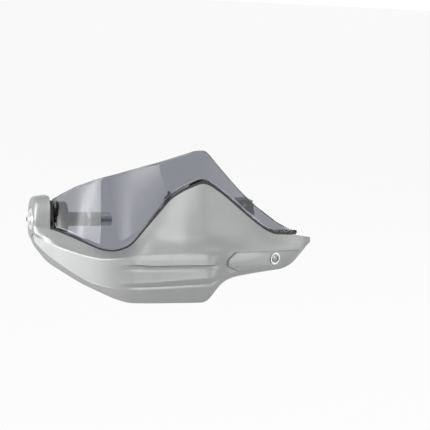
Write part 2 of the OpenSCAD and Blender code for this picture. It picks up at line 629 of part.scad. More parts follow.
// The bolt through the lug, with a cupped washer outside and an expander inside the bar.
BAR_WASHER_T = 2.4;
BAR_WASHER_EDGE = 1;
BAR_WASHER_BEVEL = 2;
module bar_end_washer() {
  face = LUG_BACK + RECESS_D - gap / 5;
  color("silver") on_bar(face) rotate([180, 0, 0]) rotate_extrude() polygon([[bar_bolt_r + gap, 0],
    [washer_r, 0], [washer_r, BAR_WASHER_EDGE], [washer_r - BAR_WASHER_BEVEL, BAR_WASHER_T],
    [bar_bolt_r + gap, BAR_WASHER_T]]);
}
SPACER_L = 4;
NUT_L = 12;
RING_1 = spigot_l + gap;
SPACER_AT = RING_1 + expander_l + gap;
RING_2 = SPACER_AT + SPACER_L + gap;
NUT_AT = RING_2 + expander_l + gap;
BAR_HEAD_H = 3.6;
NUT_PLAY = 0.4;
RUBBER_PLAY = 0.1;
module bar_end_bolt() {
  seat = LUG_BACK + RECESS_D - gap / 5 - BAR_WASHER_T - gap / 5;
  color("silver") on_bar(seat) rotate([180, 0, 0])
    dome_screw(bar_head_r, BAR_HEAD_H, bar_bolt_r, NUT_AT + NUT_L - 1 - seat, bar_bolt_r * 0.72);
}
module expander_rings() {
  color("#202020") for (x = [RING_1, RING_2]) on_bar(x)
    ring(spigot_r - RUBBER_PLAY, bar_bolt_r + gap, expander_l);
}
module expander_spacer() {
  color("lightgray") on_bar(SPACER_AT) ring(spigot_r - NUT_PLAY, bar_bolt_r + gap, SPACER_L);
}
module expander_nut() {
  color("lightgray") on_bar(NUT_AT) ring(spigot_r - NUT_PLAY, bar_bolt_r + THREAD_FIT, NUT_L);
}

// The fixing of the arm: flanged collar, grommet, screw and nut.
COLLAR_FLANGE = 1.2;
ARM_BACK = -shell_wall - arm_boss_h;
TAB_T = 5;
module arm_collar() {
  color("lightgray") at_arm() difference() {
    union() {
      translate([0, 0, ARM_BACK - gap])
        cylinder(r = COLLAR_TUBE_R, h = pad_h + gap * 1.5 + COLLAR_FLANGE - ARM_BACK);
      translate([0, 0, pad_h + gap / 2]) cylinder(r = ring_r, h = COLLAR_FLANGE);
    }
    translate([0, 0, ARM_BACK - 1]) cylinder(r = arm_screw_r + gap, h = pad_h - ARM_BACK + 5);
  }
}
module arm_grommet() {
  color("#202020") at_arm() translate([0, 0, ARM_BACK + gap])
    ring(COLLAR_TUBE_R + GROMMET_T + gap, COLLAR_TUBE_R + gap, pad_h - ARM_BACK - 2 * gap);
}
ARM_NUT_H = 5.5;
ARM_HEAD_H = 2.8;
NUT_FLANGE_T = 1.2;
NUT_FLANGE_R = arm_screw_r * 2.35;
module arm_screw() {
  seat = pad_h + gap / 2 + COLLAR_FLANGE + gap / 5;
  color("gray") at_arm() translate([0, 0, seat])
    dome_screw(arm_head_r, ARM_HEAD_H, arm_screw_r, seat - ARM_BACK + TAB_T + ARM_NUT_H, arm_screw_r * 0.8);
}
module arm_nut() {
  color("lightgray") at_arm() translate([0, 0, ARM_BACK - 3 * gap - TAB_T - ARM_NUT_H]) difference() {
    union() {
      cylinder(r = arm_screw_r * 1.9, h = ARM_NUT_H, $fn = 6);
      translate([0, 0, ARM_NUT_H - NUT_FLANGE_T]) cylinder(r = NUT_FLANGE_R, h = NUT_FLANGE_T);
    }
    translate([0, 0, -1]) cylinder(r = arm_screw_r + THREAD_FIT, h = ARM_NUT_H + 2);
  }
}

// The cast bracket from the arm to the front half of the handlebar clamp.
TAB_R = 9;
SCREW_LAND = 3.5;
EAR_LAND = 4;
CLAMP_PITCH = bar_r + clamp_screw_r + SCREW_LAND;
CLAMP_HALF = CLAMP_PITCH + clamp_screw_r + EAR_LAND;
CLAMP_DEPTH = bar_r + clamp_wall;
EAR_T = 10;
SPANNER_ROOM = 1;
// The bracket's arm bends at a knee between the clamp and the tab behind the shell's arm.
KNEE = [7, -26, -20];
KNEE_R = 8;
KNEE_W = 12;
NECK = [-1, -6];
CLAMP_NECK_R = 9;
NECK_INSET = 2;
module clamp_half(side) {
  intersection() {
    union() {
      translate([clamp_x - clamp_w / 2, 0, 0]) rotate([0, 90, 0]) cylinder(r = CLAMP_DEPTH, h = clamp_w);
      translate([clamp_x - clamp_w / 2, -EAR_T, -CLAMP_HALF]) cube([clamp_w, 2 * EAR_T, 2 * CLAMP_HALF]);
    }
    mirror([0, side < 0 ? 1 : 0, 0]) translate([clamp_x - clamp_w, clamp_slit / 2, -2 * CLAMP_HALF])
      cube([2 * clamp_w, 2 * CLAMP_HALF, 4 * CLAMP_HALF]);
  }
}
module bar_bore() {
  translate([clamp_x - clamp_w, 0, 0]) rotate([0, 90, 0]) cylinder(r = bar_r, h = 2 * clamp_w);
}
module at_clamp_screws(y) {
  for (s = [-1, 1]) translate([clamp_x, y, s * CLAMP_PITCH]) rotate([-90, 0, 0]) children();
}
module knee() {
  translate([clamp_x, 0, 0] + KNEE) rotate([0, 90, 0])
    cylinder(r = KNEE_R, h = KNEE_W, center = true, $fn = 32);
}
module mount_bracket() {
  color("#2a2a2c") difference() {
    union() {
      clamp_half(-1);
      hull() {
        at_arm() translate([0, 0, ARM_BACK - 2 * gap - TAB_T]) cylinder(r = TAB_R, h = TAB_T, $fn = 32);
        knee();
      }
      hull() {
        knee();
        translate([clamp_x, NECK[0] - bar_r, NECK[1]]) rotate([0, 90, 0])
          cylinder(r = CLAMP_NECK_R, h = clamp_w - NECK_INSET, center = true, $fn = 32);
      }
    }
    bar_bore();
    at_clamp_screws(-EAR_T - 1) cylinder(r = clamp_screw_r + THREAD_FIT, h = EAR_T + 2);
    at_arm() translate([0, 0, ARM_BACK - TAB_T - 6]) cylinder(r = arm_screw_r + gap, h = TAB_T + 8);
    at_arm() translate([0, 0, ARM_BACK - 2 * gap - TAB_T - 4 * ARM_NUT_H])
      cylinder(r = NUT_FLANGE_R + SPANNER_ROOM, h = 4 * ARM_NUT_H);
  }
}
module clamp_cap() {
  color("#2a2a2c") difference() {
    clamp_half(1);
    bar_bore();
    at_clamp_screws(0) cylinder(r = clamp_screw_r + gap, h = EAR_T + 2);
    at_clamp_screws(EAR_T) cylinder(r = CLAMP_WASHER_R + 2 * gap, h = CLAMP_DEPTH);
  }
}
CLAMP_HEAD_H = 5;
CLAMP_WASHER_RIM = 2.6;
CLAMP_WASHER_R = clamp_screw_r + CLAMP_WASHER_RIM;
CLAMP_WASHER_T = 1;
module clamp_washers() {
  color("lightgray") at_clamp_screws(EAR_T + gap / 5)
    ring(CLAMP_WASHER_R, clamp_screw_r + gap, CLAMP_WASHER_T);
}
module clamp_screws() {
  color("silver") at_clamp_screws(EAR_T + CLAMP_WASHER_T + 2 * gap / 5)
    cap_screw(clamp_screw_r * 1.7, CLAMP_HEAD_H, clamp_screw_r, 2 * EAR_T, clamp_screw_r * 0.9);
}

guard_shell();
wind_deflector();
rim_bead();
side_seal();
deflector_inserts();
deflector_grommets();
deflector_washers();
deflector_screws();
deflector_clip();
bar_end_weight();
weight_sleeve();
bar_end_washer();
bar_end_bolt();
expander_rings();
expander_spacer();
expander_nut();
arm_collar();
arm_grommet();
arm_screw();
arm_nut();
mount_bracket();
clamp_cap();
clamp_screws();
clamp_washers();
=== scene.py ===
"""Looks of the motorcycle hand guard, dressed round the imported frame.

The shell, the deflector and their rubber trims are modelled again here from the guide curves that
the solids use, with finer columns and rows. Lengths are in millimetres until a mesh is made, and
the floor and the lamps are placed in metres.
"""
import json
import math

import bmesh
import bpy
import numpy as np
from mathutils import Matrix, Vector


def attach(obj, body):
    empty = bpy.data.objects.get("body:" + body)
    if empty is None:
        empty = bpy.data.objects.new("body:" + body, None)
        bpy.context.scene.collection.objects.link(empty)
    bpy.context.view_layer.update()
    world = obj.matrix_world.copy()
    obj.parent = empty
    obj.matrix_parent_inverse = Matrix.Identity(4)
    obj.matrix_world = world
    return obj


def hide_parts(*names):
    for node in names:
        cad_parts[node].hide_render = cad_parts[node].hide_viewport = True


MM = 0.001
# How near two points are made one, in metres
WELD = 2e-6

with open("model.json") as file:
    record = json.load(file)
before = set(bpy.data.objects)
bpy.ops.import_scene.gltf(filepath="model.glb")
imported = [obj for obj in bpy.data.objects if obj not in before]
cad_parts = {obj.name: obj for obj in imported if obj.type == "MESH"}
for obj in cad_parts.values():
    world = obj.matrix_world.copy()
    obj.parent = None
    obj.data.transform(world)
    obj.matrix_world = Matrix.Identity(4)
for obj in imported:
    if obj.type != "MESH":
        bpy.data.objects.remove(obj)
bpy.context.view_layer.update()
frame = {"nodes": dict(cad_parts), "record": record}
nodes = frame["nodes"]


# Guide curves as [distance along the bar, value], the same as the solids have.

FRONT_Y = [[-42, -15], [-37, -20], [-30, -26], [-22, -38], [-15, -47.5], [4, -65.5], [22, -81.5],
           [37, -92.5], [50, -98.5], [66, -100], [141, -100], [151, -95], [160, -87.5],
           [170, -81.5], [180, -78], [270, -38.3], [276, -35.6], [280, -32.5], [282, -28]]
RIM_Y = [[-42, -17], [-34, -20], [-28, -22], [-22, -23.5], [-10, -34], [4, -52], [27, -70.5],
         [42, -79.5], [64, -78], [88, -76], [135, -72], [160, -66], [231, -50], [261, -40],
         [276, -34.5], [280, -31.5], [282, -27]]
RIM_Z = [[-42, -5], [-22, -7], [-10, -10.5], [4, -15], [24, -22.5], [38, -23], [56, -16.5],
         [64, -7], [99, 34.5], [112, 42.5], [128, 49.5], [136, 52], [144, 49.5], [160, 39.5],
         [202, 7.4], [218, -3.5], [231, -9], [261, -11.4], [282, -16]]
MID_Y = [[-42, -17], [-21, -35], [4, -62], [27, -81], [42, -90.5], [55, -92], [64, -90],
         [74, -88.7], [114, -89.3], [146, -84], [160, -78], [180, -71], [202, -64], [218, -58.5],
         [231, -54.3], [261, -42], [276, -35.3], [280, -32.2], [282, -27.6]]
MID_Z = [[-42, -11.5], [-21, -18], [4, -25], [27, -27.5], [42, -25], [55, -21], [64, -15],
         [74, -11], [118, -9], [160, -9.5], [180, -10.5], [202, -12], [218, -16.5], [231, -21],
         [261, -24], [276, -19.3], [282, -17.6]]
SHOULDER_Z = [[-42, -14], [-29, -20], [-15, -23.5], [4, -28], [22, -30], [38, -27], [60, -23.5],
              [143, -23], [177, -24], [231, -27], [261, -29], [273, -24], [282, -19]]
SILL_Z = [[-42, -19], [-27, -34], [-21, -38], [-4, -49], [14, -58], [34, -61], [50, -61.5],
          [85, -60.5], [144, -58], [160, -50], [175, -46], [245, -46], [258, -40], [273, -27.5],
          [282, -20.4]]
EDGE_Z = [[-42, -25], [-36, -30], [-27, -43], [-21, -46.5], [-14, -50], [4, -60], [23, -67.5],
          [37, -73], [51, -76.5], [75, -77], [124, -77.3], [139, -77], [152, -63], [163, -56],
          [179, -52.5], [207, -51], [243, -50], [257, -45.5], [273, -30.5], [282, -22]]
TOP_Y = [[-21, -8], [-12, -14], [4, -30], [25, -47], [40, -53], [56, -54.5], [116, -52],
         [142, -49], [175, -46], [212, -40], [238, -37.5], [256, -37], [268, -36]]
TOP_Z = [[-20, 22], [-17, 25], [-12, 29], [3, 41], [25, 53], [56, 63], [89, 72], [116, 80.5],
         [131, 85], [143, 85.5], [149, 80.5], [159, 69.5], [175, 53], [188, 40.3], [211, 21],
         [237, 3], [254, -5.5], [264, -9.2], [268, -10]]

# How far along the bar the curves' corners are rounded, and the weights that round them
PLAN_EASE = 13
HEIGHT_EASE = 9
TOP_EASE = 5
EASE_PARTS = 4
EASE_WEIGHTS = (1, 2, 3, 4, 3, 2, 1)

# Sizes of the shell and its webs
WALL = 3
BEND_SHARE = 0.45
CREASE_R = 9
BROW_R = 5
EDGE_R = 5
EDGE_TUCK = 3
EDGE_RISE = 1.5
TURN_IN = 9
WEB_XS = (76, 104, 132)
WEB_T = 2
WEB_H = 7
WEB_ROOT = 0.8
WEB_TOE = 2

# Relief of the front as [share of the way from brow to sill, height, drift of the share along X]
RIBS = [[-0.02, 0, 0], [0.02, 0.35, 0], [0.215, 1.1, 0], [0.25, -0.35, 0], [0.37, -0.4, 0],
        [0.41, 0, 0], [0.66, 0.82, -0.0012], [0.735, 1.15, -0.0012], [0.765, 0.8, -0.0012],
        [0.925, -0.4, 0], [0.99, 0.1, 0], [1, 0.1, 0], [1.05, 0, 0]]
RIB_DEPTH = 2.4
RIB_MIDDLE = 96
RIB_EASE = 0.022
RIB_START = (38, 58)
RIB_END = (138, 154)
SILL_SHARE = 0.955
SILL_START = (-4, 40)

# Sizes of the lug. Its edge is [Y, Z] from the top down. Its rear is an oval of these half axes,
# drawn from a start over a sweep in degrees.
LUG_FRONT = -22.5
LUG_BACK = -40
LUG_END_T = 6
LUG_END_R = 5
LUG_ROUND = 1.3
LUG_CENTRE = (-1, -1)
LUG_BULGE = 3.5
LUG_FLARE = 0.11
LUG_EDGE = [[-13, 25], [-18.5, 23], [-22.3, 17.5], [-24.3, 9], [-24.5, 0]]
LUG_EASE_PARTS = 6
REAR = (21, 24.5)
REAR_START = 72
REAR_SWEEP = 178
REAR_POWER = 0.7
POCKET_R = 17
POCKET_CUT = 20
RECESS_D = 1.5
RECESS_R = 12.85
BOLT_HOLE_R = 4.4

# Sizes of the arm. The pad's bevels are (inwards, upwards).
ARM_SCREW = (228, -35)
ARM_BOSS_R = 9.5
ARM_BOSS_H = 6
ARM_BOSS_FACE = -WALL - ARM_BOSS_H
ARM_HOLE_R = 6.7
PAD_X = (180, -78)
PAD_SLOPE = 0.441
PAD_H = 2.2
PAD_ROOT = 1
PAD_BEVEL = 1
PAD_BEVELS = ((0, 0), (0.15, 0.5), (0.5, 0.85), (1, 1))
PAD_OUTLINE = [[-69, 3.5], [-58, 11.5], [39, 6], [18.5, -11], [-53, -10.5], [-70, -3]]

# Sizes of the deflector and its fixings. The screws and the flange's foot lie at a drop under the
# rim, or at a share of the way down the upper wall where that is less.
GAP = 0.25
BOSS_H = 5
BOSS_R = 5
BOSS_ROOT = 1.5
BOSS_FACE = -WALL - BOSS_H
INSERT_HOLE_R = 2.86
INSERT_HOLE_L = 5.75
SCREW_XS = (14, 62, 136, 190)
SCREW_DROP = 7
SCREW_SHARE = 0.56
SCREW_ROW = 4
SCREEN_T = 3
SCREEN_X = (-18, 262)
SCREEN_CORNER = 3.5
SHELF_DEPTH = WALL + BOSS_H + 2 * GAP
SHELF_ROW = 2
FLANGE_BACK = -SHELF_DEPTH - SCREEN_T
FOLD_R = 5.4
FOLD_SHARE = 0.65
FOLD_SLACK = 0.125
HEEL_R = 2.4
FLANGE_DROP = 16
FLANGE_SHARE = 0.78
GROMMET_HOLE_R = 3.55
GROMMET_SEAT_R = 5.9
SPOT_DEPTH = 2

# Faces of the deflector's upper edge that get painted shade, a near-black tint for the dark seen
# along the acrylic: how near the top they are, and how far they look up
PAINTED_EDGE_BAND = 1.6
PAINTED_EDGE_FACING = 0.15

# Sizes of the bead, of the side seal and of the clip. The seal's lips are (share of its width,
# height) and its taper (share of its length, share of its full section). The clip is drawn as
# [along the rim, up].
BEAD_H = 2.6
BEAD_PROUD = 0.6
BEAD_X = (-19, 261)
SEAL_SPAN = (0.06, 0.9)
SEAL_R = 2.2
SEAL_BACK = 2
SEAL_LIPS = [(0, 1.9), (0.18, 2.2), (0.3, 1.7), (0.42, 2.1), (0.56, 1.6), (0.7, 2.1), (0.85, 2.2),
             (1, 1.9)]
SEAL_TAPER = [(0, 0.2), (0.02, 0.7), (0.05, 0.95)]
SEAL_FULL = (0.08, 0.92)
SEAL_N = 12
CLIP_X = 99
CLIP = [[-5.5, 0], [4.6, 0], [4.4, 3.2], [3.4, 4], [2, 3.6], [1.5, 1.8], [-5.5, 1.4]]
CLIP_DEPTH = 2.3
CLIP_STEP_BACK = 1.2

# Rows of the shell's outer face, counted downwards
UPPER_N = 14
CREASE_N = 6
MID_N = 3
BROW_N = 6
RIB_N = 40
SILL_N = 4
LOW_N = 6
TURN_N = 3
SHOULDER_ROW = UPPER_N + CREASE_N + MID_N + BROW_N - 1
# The webs follow every third row, and their back starts at a row of the lower bend
WEB_SKIP = 3
WEB_LOW_ROW = -8

# Rows of the lug above the rim, and of the deflector from its top down
LUG_N = 10
LEG_N = 14
FOLD_N = 8
HEEL_N = 4
FLANGE_N = 5

# Columns along X
COLUMN_STEP = 2
CORNER_N = 8
LUG_STEPS = (0, 0.15, 0.5, 1, 1.8, 3, 5, 7, 9, 11, 13, 15, 16.2, 16.9, 17.3, 17.5)
LUG_LAST = len(LUG_STEPS) - 1
FIRST_STEP = 1.5
TIP_COLUMNS = [276.5, 278, 279.5, 280.5, 281.3, 282]
COLUMNS = ([LUG_BACK + step for step in LUG_STEPS]
           + list(np.arange(LUG_FRONT + FIRST_STEP, TIP_COLUMNS[0], COLUMN_STEP)) + TIP_COLUMNS)

# How far to each side a wall's normal is taken, how far a cut passes a face, and a rod's sides
NORMAL_REACH = 3
OVER = 1
ROD_SIDES = 48


def eased(table, x, width):
    """A guide curve with its corners rounded: a weighted average of the table round x."""
    at, values = zip(*table)
    step = width / EASE_PARTS
    middle = len(EASE_WEIGHTS) // 2
    total = sum(weight * np.interp(x + (k - middle) * step, at, values)
                for k, weight in enumerate(EASE_WEIGHTS))
    return total / sum(EASE_WEIGHTS)


def soft(t):
    """Eases a share between 0 and 1."""
    c = min(1, max(0, t))
    return c * c * (3 - 2 * c)


def fade(x, span):
    """The eased share of a span that x has passed."""
    return soft((x - span[0]) / (span[1] - span[0]))


def unit(v):
    """A vector's direction, with length 1."""
    return v / np.linalg.norm(v)


def mix(a, b, t):
    """The point that lies a share t of the way from a to b."""
    return a + (b - a) * t


def bend(a, b, c, r, n, share=BEND_SHARE):
    """Points round corner b of the path a, b, c, which starts and ends r from the corner."""
    k = min(r, BEND_SHARE * np.linalg.norm(a - b), share * np.linalg.norm(c - b))
    p = b + k * unit(a - b)
    q = b + k * unit(c - b)
    return [(1 - t) ** 2 * p + 2 * t * (1 - t) * b + t * t * q for t in np.linspace(0, 1, n + 1)]


def stretch(a, b, n):
    """n points from a towards b, without b."""
    return [mix(a, b, k / n) for k in range(n)]


def point(x, across, height, ease=HEIGHT_EASE):
    """The point at x of a guide curve that is given by its Y and Z."""
    return np.array([x, eased(across, x, PLAN_EASE), eased(height, x, ease)])


def shell_rows(x):
    """The base form's outline at x, from the rim down to the turned-in edge."""
    rim, mid = point(x, RIM_Y, RIM_Z), point(x, MID_Y, MID_Z)
    y = eased(FRONT_Y, x, PLAN_EASE)
    shoulder = np.array([x, y, eased(SHOULDER_Z, x, HEIGHT_EASE)])
    sill = np.array([x, y, eased(SILL_Z, x, HEIGHT_EASE)])
    edge = np.array([x, y + EDGE_TUCK, eased(EDGE_Z, x, HEIGHT_EASE)])
    turned = edge + np.array([0, TURN_IN, EDGE_RISE])
    crease = bend(rim, mid, shoulder, CREASE_R, CREASE_N)
    brow = bend(crease[-1], shoulder, sill, BROW_R, BROW_N)
    low = bend(sill, edge, turned, EDGE_R, LOW_N)
    return (stretch(rim, crease[0], UPPER_N) + crease
            + stretch(crease[-1], brow[0], MID_N)[1:] + brow
            + [mix(brow[-1], sill, (k + 1) / RIB_N) for k in range(RIB_N)]
            + stretch(sill, low[0], SILL_N)[1:] + low
            + stretch(low[-1], turned, TURN_N)[1:] + [turned])


ROWS = len(shell_rows(0))


def relief(x, row):
    """How far a row of the outer face stands proud of the base form."""
    share = (row - SHOULDER_ROW) / RIB_N
    if share < 0:
        return 0
    drift_x = min(RIB_END[1], max(RIB_START[0], x)) - RIB_MIDDLE
    knots = [[at + drift * drift_x, height] for at, height, drift in RIBS]
    start = RIB_START if share < SILL_SHARE else SILL_START
    return eased(knots, share, RIB_EASE) * RIB_DEPTH * fade(x, start) * (1 - fade(x, RIB_END))


def normals(grid):
    """Outward normals of a grid whose rows run downwards and whose columns run along X."""
    down = np.gradient(grid, axis=1)
    across = np.gradient(grid, axis=0)
    cross = np.cross(down, across)
    return cross / np.linalg.norm(cross, axis=2, keepdims=True)


def wall_normal(x, row):
    """The outward normal of the shell's base form at x, on one of its rows."""
    a, b, c = shell_rows(x - NORMAL_REACH), shell_rows(x + NORMAL_REACH), shell_rows(x)
    return unit(np.cross(c[min(row + 1, ROWS - 1)] - c[max(row - 1, 0)], b[row] - a[row]))


# Meshes from points, and what is done to them.

def linked(name, data):
    """A new object in the scene."""
    obj = bpy.data.objects.new(name, data)
    bpy.context.scene.collection.objects.link(obj)
    return obj


def mesh_object(name, points, faces):
    """A new object from points in millimetres, without repeated points or empty faces."""
    mesh = bpy.data.meshes.new(name)
    mesh.from_pydata([tuple(np.asarray(p) * MM) for p in points], [], faces)
    bm = bmesh.new()
    bm.from_mesh(mesh)
    bmesh.ops.remove_doubles(bm, verts=bm.verts, dist=WELD)
    bmesh.ops.dissolve_degenerate(bm, edges=bm.edges, dist=WELD)
    loose = [v for v in bm.verts if not v.link_faces]
    bmesh.ops.delete(bm, geom=loose, context="VERTS")
    bmesh.ops.recalc_face_normals(bm, faces=bm.faces)
    if bm.calc_volume(signed=True) < 0:
        bmesh.ops.reverse_faces(bm, faces=bm.faces)
    bm.to_mesh(mesh)
    bm.free()
    return linked(name, mesh)


def apply_modifiers(obj):
    """Bakes an object's modifiers into its mesh."""
    depsgraph = bpy.context.evaluated_depsgraph_get()
    mesh = bpy.data.meshes.new_from_object(obj.evaluated_get(depsgraph))
    obj.modifiers.clear()
    obj.data = mesh


def combine(obj, others, operation):
    """Joins the other solids to the object or cuts them out of it, and deletes them."""
    for other in others:
        step = obj.modifiers.new("combine", "BOOLEAN")
        step.operation = operation
        step.solver = "MANIFOLD"
        step.object = other
    apply_modifiers(obj)
    for other in others:
        bpy.data.objects.remove(other)


def smooth(obj, angle):
    """Shades an object smooth, with edges sharper than the angle left crisp."""
    obj.data.shade_smooth()
    obj.data.set_sharp_from_angle(angle=math.radians(angle))


def grid_faces(at, columns, rows, flip=False):
    """Quads between neighbouring columns, with at(column, row) the number of a point."""
    faces = []
    for i in columns:
        for j in rows:
            face = (at(i, j), at(i + 1, j), at(i + 1, j + 1), at(i, j + 1))
            faces.append(face[::-1] if flip else face)
    return faces


# The moulded shell.

def flared(x, z):
    """The lug's upper half grows taller from its outboard end inwards."""
    return z * (1 + LUG_FLARE * (x - LUG_BACK) / (LUG_FRONT - LUG_BACK)) if z > 0 else z


def lug_rows(x):
    """The lug above the rim, from its top edge down its front face."""
    bulge = LUG_BULGE * (1 - fade(x, (LUG_BACK, LUG_FRONT)))
    outline = np.array([[y + bulge, flared(x, z)] for y, z in LUG_EDGE])
    lengths = np.concatenate([[0], np.cumsum(np.linalg.norm(np.diff(outline, axis=0), axis=1))])
    end = lengths[-1]
    rows = []
    for s in np.linspace(0, end, LUG_N):
        width = min(end / LUG_EASE_PARTS, EASE_PARTS * s, EASE_PARTS * (end - s))
        y, z = (eased(list(zip(lengths, values)), s, width) for values in outline.T)
        rows.append(np.array([x, y, z]))
    return rows


def rear_rows(x, count):
    """The lug's rear face, an oval that ends behind the shoulder."""
    rows = []
    for k in range(count + 1):
        t = math.radians(REAR_START - REAR_SWEEP * k / count)
        y, z = (radius * math.copysign(abs(c) ** REAR_POWER, c)
                for radius, c in zip(REAR, (math.cos(t), math.sin(t))))
        rows.append(np.array([x, y, flared(x, z)]))
    return rows


def shrunk(p, x):
    """The end of the lug is rounded: its section shrinks towards the middle."""
    d = min(LUG_END_R, x - LUG_BACK)
    share = (LUG_END_R - math.sqrt(LUG_END_R ** 2 - (LUG_END_R - d) ** 2)) / REAR[1]
    return mix(p, np.array([p[0], *LUG_CENTRE]), share)


def rolled(p, x):
    """The lug's inboard edge above the rim is rounded a little."""
    d = max(0, LUG_ROUND - (LUG_FRONT - x))
    share = (LUG_ROUND - math.sqrt(max(0, LUG_ROUND ** 2 - d ** 2))) / REAR[1]
    return mix(p, np.array([p[0], *LUG_CENTRE]), share)


def moulded_body():
    """The shell as one closed sheet whose outboard end thickens into the lug."""
    base = np.array([shell_rows(x) for x in COLUMNS])
    nrm = normals(base)
    lift = np.array([[relief(x, j) for j in range(ROWS)] for x in COLUMNS])[:, :, None]
    width = LUG_N + ROWS
    join = LUG_N + SHOULDER_ROW
    front, thin, thick = [], [], []
    for i, x in enumerate(COLUMNS):
        lug = lug_rows(x)
        skin = lug + list(base[i] + nrm[i] * lift[i])
        inner = lug + list(base[i] - nrm[i] * WALL)
        if i <= LUG_LAST:
            skin = [rolled(p, x) for p in skin[:LUG_N]] + skin[LUG_N:]
            rear = [rolled(p, x) for p in rear_rows(x, join - 1)] + inner[join:]
            skin, inner, rear = ([shrunk(p, x) for p in part] for part in (skin, inner, rear))
        else:
            rear = inner
        front.append(skin)
        thin.append(inner)
        thick.append(rear)
    size = len(COLUMNS) * width

    # Numbers of the points on the outer face, on the wall's inner face and on the lug's rear
    def f(i, j):
        return i * width + j

    def b(i, j):
        return size + f(i, j)

    def k(i, j):
        return 2 * size + f(i, j)

    last, rim, end, foot = LUG_LAST, LUG_N, len(COLUMNS) - 1, width - 1
    faces = grid_faces(f, range(last), range(foot)) + grid_faces(k, range(last), range(foot), True)
    faces += [(k(i, 0), k(i + 1, 0), f(i + 1, 0), f(i, 0)) for i in range(last)]
    faces += [(f(i, foot), f(i + 1, foot), k(i + 1, foot), k(i, foot)) for i in range(last)]
    faces += [(f(0, j), f(0, j + 1), k(0, j + 1), k(0, j)) for j in range(foot)]
    faces += [(f(last, j + 1), f(last, j), k(last, j), k(last, j + 1)) for j in range(rim - 1)]
    faces += [(f(last, rim - 1), k(last, rim - 1), k(last, rim)),
              (f(last, rim - 1), k(last, rim), b(last, rim)),
              (f(last, rim - 1), b(last, rim), f(last, rim))]
    faces += [(b(last, j + 1), b(last, j), k(last, j), k(last, j + 1))
              for j in range(rim, join - 1)]
    faces += [(b(last, join), b(last, join - 1), k(last, join - 1))]
    faces += grid_faces(f, range(last, end), range(rim, foot))
    faces += grid_faces(b, range(last, end), range(rim, foot), True)
    faces += [(b(i, rim), b(i + 1, rim), f(i + 1, rim), f(i, rim)) for i in range(last, end)]
    faces += [(f(i, foot), f(i + 1, foot), b(i + 1, foot), b(i, foot)) for i in range(last, end)]
    faces += [(f(end, j + 1), f(end, j), b(end, j), b(end, j + 1)) for j in range(rim, foot)]
    points = [p for part in (front, thin, thick) for column in part for p in column]
    return mesh_object("shell", points, faces)


def frame_at(origin, z_dir, x_dir=None):
    """A placement with +Z along z_dir, in millimetres."""
    z = Vector(unit(np.asarray(z_dir, float)))
    x = Vector(x_dir) if x_dir is not None else z.orthogonal()
    y = z.cross(x).normalized()
    x = y.cross(z).normalized()
    place = Matrix((x, y, z)).transposed().to_4x4()
    place.translation = Vector(origin)
    return place


def rod(name, place, r, z0, z1):
    """A cylinder about a placement's +Z, from z0 to z1."""
    profile = [(0, z0), (r, z0), (r, z1), (0, z1)]
    n = len(profile)
    points, faces = [], []
    for k in range(ROD_SIDES):
        a = 2 * math.pi * k / ROD_SIDES
        points += [np.array(place @ Vector((d * math.cos(a), d * math.sin(a), h)))
                   for d, h in profile]
        after = (k + 1) % ROD_SIDES
        faces += [(k * n + j, after * n + j, after * n + (j + 1) % n, k * n + (j + 1) % n)
                  for j in range(n)]
    return mesh_object(name, points, faces)


ARM_Y = PAD_X[1] + PAD_SLOPE * (ARM_SCREW[0] - PAD_X[0])
ARM_OUT = unit(np.array([PAD_SLOPE, -1, 0]))
ARM_ALONG = unit(np.array([1, PAD_SLOPE, 0]))


def on_arm():
    """The arm's mounting screw: z = 0 on the arm's plane, +Z outwards, +X along the arm."""
    return frame_at((ARM_SCREW[0], ARM_Y, ARM_SCREW[1]), ARM_OUT, ARM_ALONG)


def on_screws():
    """The deflector's screws: z = 0 on the shell's outer face, +Z outwards."""
    places = []
    for x in SCREW_XS:
        rows = shell_rows(x)
        rim, crease = rows[0], rows[UPPER_N]
        wall = np.linalg.norm(rows[UPPER_N + CREASE_N // 2] - rim)
        share = min(SCREW_DROP / wall, SCREW_SHARE) * wall / np.linalg.norm(crease - rim)
        places.append(frame_at(mix(rim, crease, share), wall_normal(x, SCREW_ROW)))
    return places


def on_bar(x):
    """The bar's axis at x, with +Z turned to +X."""
    return frame_at((x, 0, 0), (1, 0, 0))


def inset(outline, d):
    """A convex outline moved inwards by d."""
    n = len(outline)
    sides = []
    area = sum(outline[k][0] * outline[(k + 1) % n][1] - outline[(k + 1) % n][0] * outline[k][1]
               for k in range(n))
    for k in range(n):
        p, q = np.array(outline[k], float), np.array(outline[(k + 1) % n], float)
        inward = unit(np.array([p[1] - q[1], q[0] - p[0]])) * math.copysign(1, area)
        sides.append((p + inward * d, q - p))
    result = []
    for k in range(n):
        (p, u), (q, v) = sides[k - 1], sides[k]
        t = np.linalg.solve(np.array([u, -v]).T, q - p)[0]
        result.append(p + u * t)
    return result


def hull_object(name, points):
    """The convex hull of some points in millimetres."""
    bm = bmesh.new()
    for p in points:
        bm.verts.new(Vector(p) * MM)
    hull = bmesh.ops.convex_hull(bm, input=bm.verts)
    inside = [part for part in hull["geom_interior"] if isinstance(part, bmesh.types.BMVert)]
    bmesh.ops.delete(bm, geom=inside, context="VERTS")
    bmesh.ops.recalc_face_normals(bm, faces=bm.faces)
    mesh = bpy.data.meshes.new(name)
    bm.to_mesh(mesh)
    bm.free()
    return linked(name, mesh)


def arm_pad():
    """The flat pad on the arm, with a rounded edge."""
    place = on_arm()
    points = [place @ Vector((u, v, -PAD_ROOT)) for u, v in PAD_OUTLINE]
    for back, rise in PAD_BEVELS:
        level = PAD_H - PAD_BEVEL + rise
        points += [place @ Vector((*p, level)) for p in inset(PAD_OUTLINE, back)]
    return hull_object("pad", [np.array(p) for p in points])


